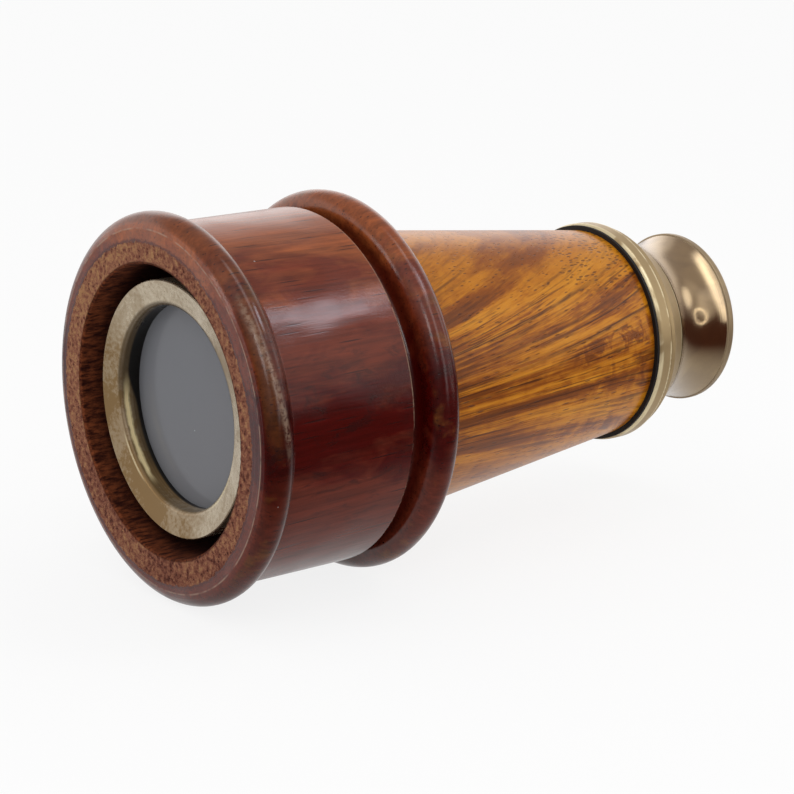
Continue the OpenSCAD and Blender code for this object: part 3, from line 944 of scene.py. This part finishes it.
@dataclass(frozen=True)
class Brass(Coat):
    """Turned brass with its own degree of tarnish."""

    clean: Colour
    dull: Colour
    gloss: float
    wear: float
    cloud_scale: float = 0.13
    metal: float = 1.0
    bore: Bore | None = None
    matt_from_mm: float = 0.0
    rubbed_and_highlight_edges_mm: tuple[Span, ...] = ()
    darker_side: Direction | None = None
    darker_side_mm: Span = (2.0, 17.0)
    relief: float = 0.000008

    def shade(self, turned: Turned) -> Plug:
        """Draws the surface.

        Args:
            turned: Places on the piece.

        Returns:
            The shader.
        """
        sheet = turned.sheet
        cloud = sheet.noise(
            turned.place, self.cloud_scale, detail=3.0, roughness=0.55, distortion=0.6
        )
        spots = sheet.noise(turned.place, 1.4, detail=3.0, roughness=0.65)
        fine = 0.4 * self.wear
        tarnish = (cloud * (1.0 - fine) + spots * fine).rise(0.38, 0.66)
        # Darker towards one side: the dull colour spreads over that side.
        if self.darker_side:
            darker_share = sheet.dot(turned.place, self.darker_side).rise(*self.darker_side_mm)
            tarnish = (tarnish * 0.7 + darker_share * 0.72).least(1.0)
        rings = sheet.noise(turned.lathe, 5.0, roughness=0.7)
        colour = sheet.mix(tarnish, self.clean, self.dull)
        metal: Number = 1.0
        if self.metal < 1.0:
            metal = 1.0 - (tarnish * 0.4 + 0.6) * (1.0 - self.metal)
        rough = self.gloss + tarnish * 0.12 * self.wear + (rings - 0.5) * 0.06
        if self.bore:
            colour, in_bore = self.bore.paint_light_and_shade(turned, colour)
            metal = metal - in_bore * 0.40
        # Pale rounded edges: rubbed brass and painted highlight lines.
        for at, reach in self.rubbed_and_highlight_edges_mm:
            edge = turned.along.near(at, reach, reach * 0.4) * cloud.rise(0.34, 0.46)
            colour = sheet.mix(edge * 0.85, colour, RUBBED_AND_HIGHLIGHT)
        if self.matt_from_mm:
            matt = turned.along.rise(self.matt_from_mm - 0.2, self.matt_from_mm)
            rough = rough + matt * 0.25
            metal = metal - matt * 0.45
            colour = sheet.mix(matt * 0.22, colour, BLACKENED_AND_SHADE)
        return sheet.surface(
            Base_Color=colour,
            Metallic=metal,
            Roughness=rough,
            Normal=sheet.bump(rings + spots * 0.4 * self.wear, self.relief),
        )


@dataclass(frozen=True)
class Matt(Coat):
    """A dull dark surface: blackened metal, rubber or felt."""

    base: Colour
    lift: Colour
    rough: float
    nap: float
    scale: float
    sheen: float = 0.0

    def shade(self, turned: Turned) -> Plug:
        """Draws the surface.

        Args:
            turned: Places on the piece.

        Returns:
            The shader.
        """
        sheet = turned.sheet
        fuzz = sheet.noise(turned.place, self.scale, detail=4.0, roughness=0.7)
        return sheet.surface(
            Base_Color=sheet.mix(fuzz.rise(0.3, 0.7), self.base, self.lift),
            Roughness=self.rough,
            Sheen_Weight=self.sheen,
            Normal=sheet.bump(fuzz, self.nap),
        )


@dataclass(frozen=True)
class LensGlass(Coat):
    """Polished glass; the objective's front has a grey painted reflection and a little dust."""

    tint: Colour = (0.93, 0.95, 0.96)
    # Greys of the painted reflection on the objective's front.
    smudge_and_reflection_grey: Colour = (0.172, 0.177, 0.192)
    warm_reflection_grey: Colour = (0.180, 0.177, 0.190)
    dust: Colour = (0.5, 0.52, 0.54)
    painted_reflection: float = 0.0
    outwards: Direction = (-1.0, 0.0, 0.0)

    def shade(self, turned: Turned) -> Plug:
        """Draws the surface.

        Args:
            turned: Places on the piece.

        Returns:
            The shader.
        """
        sheet = turned.sheet
        dust = sheet.cells(turned.place, 0.22).rise(0.044, 0.024)
        clear = sheet.surface(
            Base_Color=self.tint,
            Roughness=dust * 0.5,
            IOR=1.5,
            Transmission_Weight=1.0,
        )
        if not self.painted_reflection:
            return clear
        # Painted reflection: a flat grey pane stands in for the pale surroundings' reflection.
        normal = sheet.add("ShaderNodeTexCoord", {}, {}, "Normal")
        front = sheet.dot(normal, self.outwards).rise(0.6, 0.9)
        share, first, second, result = VECTOR_MIX
        flat = sheet.add(
            "ShaderNodeMix",
            {"data_type": "VECTOR"},
            {share: front, first: normal, second: self.outwards},
            result,
        )
        cast = sheet.noise(turned.place, 0.03, detail=1.0).rise(0.3, 0.7)
        colour = sheet.mix(cast * 0.4, self.smudge_and_reflection_grey, self.warm_reflection_grey)
        reflection_pane = sheet.surface(
            Base_Color=sheet.mix(dust, colour, self.dust),
            Roughness=0.08 + dust * 0.5,
            IOR=1.5,
            Specular_IOR_Level=0.12,
            Normal=flat,
        )
        return sheet.blend(front * self.painted_reflection, clear, reflection_pane)


class Finish(Enum):
    """The finishes on the instrument."""

    DARK_WOOD = "dark_lacquered_wood"
    HONEY_WOOD = "honey_lacquered_wood"
    WORN_BRASS = "worn_brass"
    EYECUP_BRASS = "eyecup_brass"
    BEZEL_BRASS = "bezel_brass"
    TUBE_BRASS = "tube_brass"
    DARKENED_BRASS = "darkened_brass"
    BLACK_METAL = "black_metal"
    BLACK_RUBBER = "black_rubber"
    GREY_FELT = "grey_felt"
    OBJECTIVE_GLASS = "objective_glass"
    LENS_GLASS = "lens_glass"


class Workshop:
    """Keeps the finishes and puts them on the pieces."""

    def __init__(self, size: Instrument) -> None:
        """Makes every finish once.

        Args:
            size: Sizes of the instrument.
        """
        coats: Mapping[Finish, Coat] = {
            Finish.DARK_WOOD: DarkWood(),
            Finish.HONEY_WOOD: HoneyWood(),
            Finish.WORN_BRASS: Brass(
                clean=(0.44, 0.325, 0.17), dull=(0.385, 0.275, 0.14), gloss=0.34, wear=0.5,
                metal=0.25, rubbed_and_highlight_edges_mm=((94.6, 0.55), (96.95, 0.42), (103.2, 0.45)),
            ),
            Finish.EYECUP_BRASS: Brass(
                clean=(0.46, 0.35, 0.21), dull=(0.355, 0.27, 0.175), gloss=0.13, wear=0.3,
                matt_from_mm=115.8, darker_side=(0.0, 0.0, -1.0),
            ),
            Finish.BEZEL_BRASS: Brass(
                clean=(0.60, 0.52, 0.39), dull=(0.225, 0.138, 0.052), gloss=0.24, wear=0.9,
                metal=0.6, cloud_scale=0.085, bore=Bore(), darker_side=(0.0, 0.75, -0.66),
            ),
            Finish.TUBE_BRASS: Brass(
                clean=(0.60, 0.45, 0.22), dull=(0.50, 0.37, 0.18), gloss=0.14, wear=0.4
            ),
            Finish.DARKENED_BRASS: Brass(
                clean=(0.045, 0.038, 0.028), dull=(0.02, 0.017, 0.012), gloss=0.5, wear=1.0
            ),
            Finish.BLACK_METAL: Matt(
                base=(0.004, 0.004, 0.004), lift=(0.010, 0.010, 0.010), rough=0.7, nap=0.00001,
                scale=2.0,
            ),
            Finish.BLACK_RUBBER: Matt(
                base=(0.002, 0.002, 0.002), lift=(0.006, 0.005, 0.005), rough=0.7, nap=0.00002,
                scale=2.5,
            ),
            Finish.GREY_FELT: Matt(
                base=(0.03, 0.028, 0.028), lift=(0.11, 0.10, 0.10), rough=0.95, nap=0.0001,
                scale=4.0, sheen=0.5,
            ),
            Finish.OBJECTIVE_GLASS: LensGlass(painted_reflection=0.92),
            Finish.LENS_GLASS: LensGlass(),
        }
        self.materials = {key: coat.build(key.value, size) for key, coat in coats.items()}

    def dress(self, node: str, finish: Finish) -> None:
        """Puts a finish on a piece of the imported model.

        Args:
            node: The piece's name.
            finish: Its finish.
        """
        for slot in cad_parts[node].material_slots:
            slot.material = self.materials[finish]
        LOG.info("%s: %s", node, finish.value)


def pieces(**finishes: Finish) -> Any:
    """Lists a sub-assembly's pieces with their finishes."""
    return field(default_factory=lambda: dict(finishes))


@dataclass
class SubAssembly:
    """Pieces that are made and fitted together."""

    workshop: Workshop
    finishes: Mapping[str, Finish] = pieces()

    def dress(self) -> None:
        """Gives each piece its finish."""
        for node, finish in self.finishes.items():
            self.workshop.dress(node, finish)


@dataclass
class Woodwork(SubAssembly):
    """The hood and the barrel."""

    finishes: Mapping[str, Finish] = pieces(hood=Finish.DARK_WOOD, barrel=Finish.HONEY_WOOD)


@dataclass
class ObjectiveUnit(SubAssembly):
    """The objective in its cell, behind its bezel."""

    finishes: Mapping[str, Finish] = pieces(
        objective_cell=Finish.DARKENED_BRASS,
        objective_bezel=Finish.BEZEL_BRASS,
        objective_lens=Finish.OBJECTIVE_GLASS,
    )


@dataclass
class BarrelEnd(SubAssembly):
    """Ferrule, gasket, felt and liner at the rear of the barrel."""

    finishes: Mapping[str, Finish] = pieces(
        barrel_liner=Finish.BLACK_METAL,
        ferrule_gasket=Finish.BLACK_RUBBER,
        barrel_ferrule=Finish.WORN_BRASS,
        barrel_felt=Finish.GREY_FELT,
    )


@dataclass
class FirstDraw(SubAssembly):
    """The wider draw with its collar."""

    finishes: Mapping[str, Finish] = pieces(
        first_draw_tube=Finish.TUBE_BRASS,
        first_draw_stop_ring=Finish.DARKENED_BRASS,
        first_draw_collar=Finish.WORN_BRASS,
        first_draw_felt=Finish.GREY_FELT,
    )


@dataclass
class SecondDraw(SubAssembly):
    """The narrower draw with its lenses and its eyecup."""

    finishes: Mapping[str, Finish] = pieces(
        second_draw_tube=Finish.TUBE_BRASS,
        second_draw_stop_ring=Finish.DARKENED_BRASS,
        erector_cell=Finish.DARKENED_BRASS,
        erector_front_lens=Finish.LENS_GLASS,
        erector_front_ring=Finish.DARKENED_BRASS,
        erector_stop=Finish.BLACK_METAL,
        erector_rear_lens=Finish.LENS_GLASS,
        erector_rear_ring=Finish.DARKENED_BRASS,
        eyepiece_cell=Finish.DARKENED_BRASS,
        field_lens=Finish.LENS_GLASS,
        lens_spacer=Finish.DARKENED_BRASS,
        eye_lens=Finish.LENS_GLASS,
        eyepiece_ring=Finish.DARKENED_BRASS,
        eyecup=Finish.EYECUP_BRASS,
    )


def mesh_object(name: str, points: Sequence[Any], faces: Sequence[Any]) -> bpy.types.Object:
    """Makes an object of the studio from points and faces.

    Args:
        name: Its name.
        points: Its corners.
        faces: Indices of the corners round each face.

    Returns:
        The object, in the scene.
    """
    mesh = bpy.data.meshes.new(name)
    mesh.from_pydata(points, [], faces)
    made = bpy.data.objects.new(name, mesh)
    bpy.context.scene.collection.objects.link(made)
    return made


def show_only_mirrored(card: bpy.types.Object) -> None:
    """Lets only mirrored rays see a card."""
    card.visible_camera = card.visible_diffuse = card.visible_shadow = False
    card.visible_transmission = False


@dataclass(frozen=True)
class SoftBox:
    """A rectangular lamp that faces the instrument."""

    name: str
    at: Direction
    width: float
    height: float
    watts: float
    mirrored: bool = True
    aim_height: float = 0.033

    def build(self) -> None:
        """Makes the lamp."""
        away = Vector(self.at) - Vector((0.0, 0.0, self.aim_height))
        data = bpy.data.lights.new(self.name, "AREA")
        data.shape = "RECTANGLE"
        data.size, data.size_y = self.width, self.height
        data.energy = self.watts
        lamp = bpy.data.objects.new(self.name, data)
        lamp.location = self.at
        lamp.rotation_mode = "QUATERNION"
        lamp.rotation_quaternion = (-away).to_track_quat("-Z", "Y")
        lamp.visible_camera = False
        lamp.visible_glossy = self.mirrored
        bpy.context.scene.collection.objects.link(lamp)


@dataclass(frozen=True)
class RingLamp:
    """A ring of light that only shows as a reflection in polished metal."""

    towards: Direction = (0.74, -0.66, 0.15)
    distance: float = 0.8
    radius: float = 0.125
    width: float = 0.028
    spread: float = 1.2
    steps: int = 48
    light: Colour = (1.0, 0.95, 0.88)
    strength: float = 3.0

    def build(self) -> None:
        """Makes the ring and lets only mirrored rays see it."""
        away = Vector(self.towards).normalized()
        across = away.cross(Vector((0.0, 0.0, 1.0))).normalized()
        over = across.cross(away)
        centre = away * self.distance
        inner, outer = self.radius - self.width / 2, self.radius + self.width / 2
        points = []
        for step in range(self.steps):
            turn = 2 * math.pi * step / self.steps
            spoke = across * (math.cos(turn) * self.spread)
            spoke += over * (math.sin(turn) / self.spread)
            points += [centre + spoke * inner, centre + spoke * outer]
        count = len(points)
        faces = [(i, i + 1, (i + 3) % count, (i + 2) % count) for i in range(0, count, 2)]
        ring = mesh_object("ring_lamp", points, faces)
        material, sheet = new_sheet("ring_light")
        sheet.finish(sheet.lamp(self.light, self.strength))
        ring.data.materials.append(material)
        show_only_mirrored(ring)


@dataclass(frozen=True)
class GlowCard:
    """A small card over the hood, brightest in its middle, that only shows as its highlight."""

    at: Direction = (0.021, -0.073, 0.140)
    faces: Direction = (-0.049, -0.020, 0.058)
    half_width: float = 0.026
    half_height: float = 0.021
    mottle_scale: float = 55.0
    light: Colour = (0.86, 0.90, 1.0)
    strength: float = 9.0

    def build(self) -> None:
        """Makes the card and lets only mirrored rays see it."""
        away = (Vector(self.at) - Vector(self.faces)).normalized()
        across = away.cross(Vector((0.0, 0.0, 1.0))).normalized() * self.half_width
        over = across.cross(away).normalized() * self.half_height
        corners = [-across - over, across - over, across + over, over - across]
        card = mesh_object("glow_card", corners, [(0, 1, 2, 3)])
        card.location = self.at
        material, sheet = new_sheet("glow_card_light")
        place = sheet.add("ShaderNodeTexCoord", {}, {}, "Object")
        side = sheet.dot(place, across.normalized() / self.half_width)
        height = sheet.dot(place, over.normalized() / self.half_height)
        mottled = sheet.noise(place, self.mottle_scale, roughness=0.6).rise(0.30, 0.62)
        glow = (side * side + height * height).rise(1.0, 0.15) * (mottled * 0.6 + 0.4)
        lit = sheet.lamp(sheet.mix(glow, (0.0, 0.0, 0.0), self.light), self.strength)
        clear = sheet.add("ShaderNodeBsdfTransparent", {}, {})
        sheet.finish(sheet.blend(glow.rise(0.0, 0.05), clear, lit))
        card.data.materials.append(material)
        show_only_mirrored(card)


@dataclass(frozen=True)
class Glow:
    """A soft patch of light in the surroundings; its edge and core are cosines from its middle."""

    towards: Direction
    edge: float
    core: float
    level: float
    above: Span | None = None


@dataclass
class Studio:
    """Camera, lamps, floor and surroundings."""

    camera_at: Direction = (-0.25828, -0.32617, 0.13688)
    azimuth_deg: float = -37.39
    elevation_deg: float = 14.90
    focal_px: float = 2400.0
    sensor_mm: float = 36.0
    clip: Span = (0.01, 20.0)
    floor_reach: float = 1.6
    floor_drop: float = 0.00005
    floor_fade: Span = (-0.085, -0.010)
    floor_fold_x: float = 0.02
    floor_slant: float = 0.25
    floor_shine: float = 0.74
    floor_white: float = 0.85
    paper: Colour = (0.88, 0.88, 0.88)
    wall_towards: Direction = (0.10, 0.995, 0.0)
    wall_side: Span = (-0.10, 0.25)
    wall_top: Span = (0.60, 0.34)
    wall: float = 1.0
    ceiling_edge: Span = (0.35, 0.62)
    ceiling: float = 0.40
    glows: tuple[Glow, ...] = (
        Glow((0.53, 0.755, 0.386), 0.90, 0.98, 0.45),
        Glow((-0.55, -0.45, 0.70), 0.6, 0.95, 0.35),
        Glow((0.90, -0.29, 0.33), 0.980, 1.0, 1.3),
        Glow((0.84, -0.52, 0.16), 0.80, 0.99, 0.38, above=(-0.04, 0.22)),
        Glow((0.50, -0.79, 0.36), 0.93, 0.995, 0.50),
    )
    strip_across: Direction = (0.967, 0.060, -0.246)
    strip_half_width: float = 0.17
    strip_front: Span = (-0.20, 0.10)
    strip_up: Span = (-0.45, 0.45)
    strip: float = 3.0
    dark_side: Colour = (0.092, 0.037, 0.026)
    fill: float = 0.83
    boxes: tuple[SoftBox, ...] = (
        SoftBox("key", (0.166, -0.184, 0.324), 0.12, 0.11, 0.145, mirrored=False),
        SoftBox("overhead", (0.296, -0.085, 0.879), 0.26, 0.18, 0.34, mirrored=False),
        SoftBox("camera_side", (-0.390, -0.503, 0.405), 0.14, 0.26, 0.46),
        SoftBox("left", (-0.700, 0.270, 0.270), 0.10, 0.28, 0.34),
    )

    def build(self) -> None:
        """Makes everything round the instrument."""
        self._camera()
        self._world()
        self._floor()
        for light in (RingLamp(), GlowCard(), *self.boxes):
            light.build()

    def _camera(self) -> None:
        """Places the camera where the photograph was taken from."""
        turn, rise = math.radians(self.azimuth_deg), math.radians(self.elevation_deg)
        back = Vector(
            (math.sin(turn) * math.cos(rise), -math.cos(turn) * math.cos(rise), math.sin(rise))
        )
        data = bpy.data.cameras.new("camera")
        data.sensor_width = self.sensor_mm
        data.lens = self.focal_px / PHOTO_PX * self.sensor_mm
        data.clip_start, data.clip_end = self.clip
        camera = bpy.data.objects.new("camera", data)
        camera.location = self.camera_at
        camera.rotation_mode = "QUATERNION"
        camera.rotation_quaternion = (-back).to_track_quat("-Z", "Y")
        bpy.context.scene.collection.objects.link(camera)
        bpy.context.scene.camera = camera
        bpy.context.scene.view_settings.view_transform = "Standard"

    def _world(self) -> None:
        """White for the camera, an even fill for the object, and a room for mirrored rays."""
        world = bpy.data.worlds.new("surroundings")
        world.use_nodes = True
        bpy.context.scene.world = world
        sheet = NodeSheet(world.node_tree)
        shown = sheet.add("ShaderNodeLightPath", {}, {}, "Is Camera Ray")
        mirrored = sheet.add("ShaderNodeLightPath", {}, {}, "Is Glossy Ray")
        room = sheet.mix(1.0, self.dark_side, self._room(sheet), "ADD")
        room_light = sheet.mix(mirrored, (self.fill,) * 3, room)
        seen = sheet.mix(shown, room_light, WHITE)
        background = sheet.add("ShaderNodeBackground", {}, {"Color": seen, "Strength": 1.0})
        sheet.add("ShaderNodeOutputWorld", {}, {"Surface": background})

    def _room(self, sheet: NodeSheet) -> Plug:
        """A white wall behind and above, patches of light, and a bright strip low in front.

        Args:
            sheet: The world's node tree.

        Returns:
            The white light from each direction.
        """
        direction = sheet.add("ShaderNodeTexCoord", {}, {}, "Generated")
        up = sheet.dot(direction, (0.0, 0.0, 1.0))
        behind = sheet.dot(direction, self.wall_towards).rise(*self.wall_side)
        room = behind * up.rise(*self.wall_top) * self.wall
        room = room + up.rise(*self.ceiling_edge) * self.ceiling
        for glow in self.glows:
            light = sheet.dot(direction, glow.towards).rise(glow.edge, glow.core)
            if glow.above:
                light = light * up.rise(*glow.above)
            room = room + light * glow.level
        strip = sheet.dot(direction, self.strip_across).size().rise(self.strip_half_width, 0.0)
        strip = strip * sheet.dot(direction, (0.0, -1.0, 0.0)).rise(*self.strip_front)
        return room + strip * up.rise(*self.strip_up) * self.strip

    def _floor(self) -> None:
        """A plain pale floor that keeps a faint shadow."""
        reach = self.floor_reach
        corners = [(x * reach, y * reach, 0.0) for x, y in ((-1, -1), (1, -1), (1, 1), (-1, 1))]
        floor = mesh_object("floor", corners, [(0, 1, 2, 3)])
        floor.location.z = -self.floor_drop
        material, sheet = new_sheet("pale_floor")
        paper = sheet.add("ShaderNodeBsdfDiffuse", {}, {"Color": self.paper})
        shown = sheet.add("ShaderNodeLightPath", {}, {}, "Is Camera Ray")
        mirrored = sheet.add("ShaderNodeLightPath", {}, {}, "Is Glossy Ray")
        place = sheet.add("ShaderNodeTexCoord", {}, {}, "Object")
        slant = (sheet.dot(place, (1.0, 0.0, 0.0)) - self.floor_fold_x).size() * self.floor_slant
        lit = (sheet.dot(place, (0.0, 1.0, 0.0)) - slant).rise(*self.floor_fade)
        mirror = sheet.mix(lit * self.floor_shine, self.dark_side, WHITE)
        seen = sheet.blend(shown * self.floor_white, paper, sheet.lamp(WHITE))
        sheet.finish(sheet.blend(mirrored, seen, sheet.lamp(mirror)))
        floor.data.materials.append(material)


def main() -> None:
    """Dresses the instrument and sets up the studio."""
    logging.basicConfig(level=logging.INFO, format="%(name)s: %(message)s")
    size = Instrument()
    workshop = Workshop(size)
    for unit in (Woodwork, ObjectiveUnit, BarrelEnd, FirstDraw, SecondDraw):
        unit(workshop).dress()
    Studio().build()


if __name__ == "__main__":
    main()
